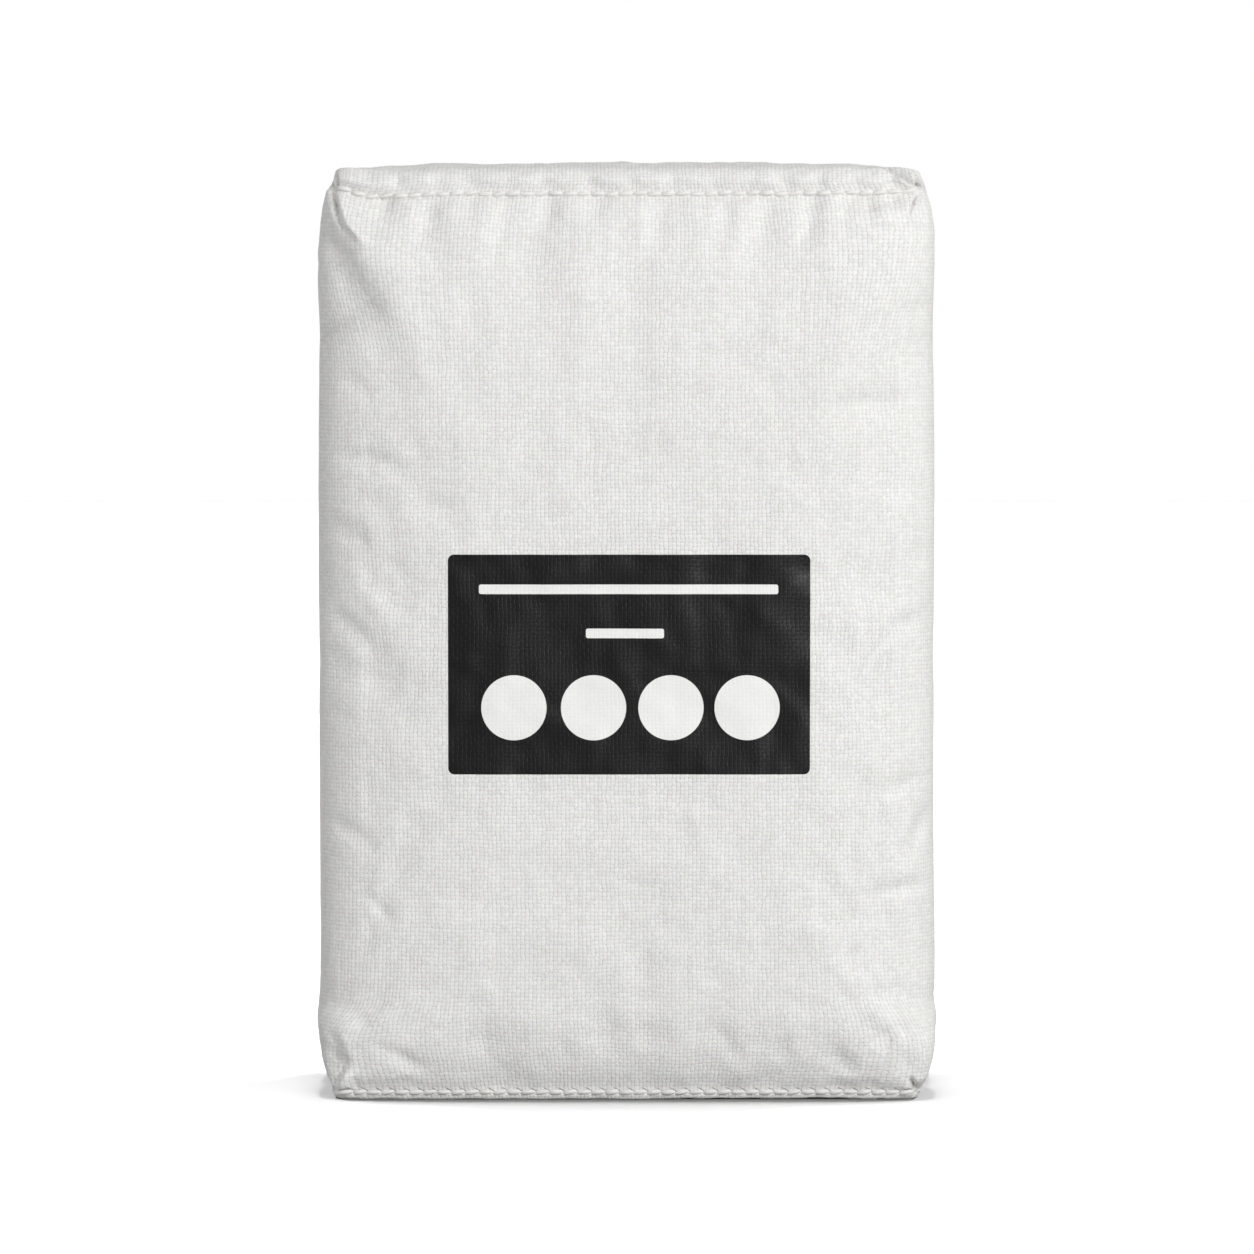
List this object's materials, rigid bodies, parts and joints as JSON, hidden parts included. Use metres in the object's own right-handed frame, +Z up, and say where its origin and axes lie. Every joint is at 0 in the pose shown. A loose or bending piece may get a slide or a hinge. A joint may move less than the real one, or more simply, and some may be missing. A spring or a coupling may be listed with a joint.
{
  "type": "cement mix bag",
  "caption": "Upright woven sack filled hard with dry cement mix, side gussets, both ends folded over and sewn shut, dark printed panel on the front.",
  "frame": {"origin": "centre of the resting face on the floor, under the middle of the sack", "axes": "+Z up along the sack's height, +X to the right across the front, +Y from the printed front to the back"},
  "size_m": [0.303, 0.106, 0.457],
  "materials": {
    "woven_cloth": "matt white woven polypropylene",
    "closing_thread": "off-white twisted thread"
  },
  "bodies": {
    "root": {"sack": "woven_cloth", "top_stitching": "closing_thread", "bottom_stitching": "closing_thread"}
  },
  "joints": []
}
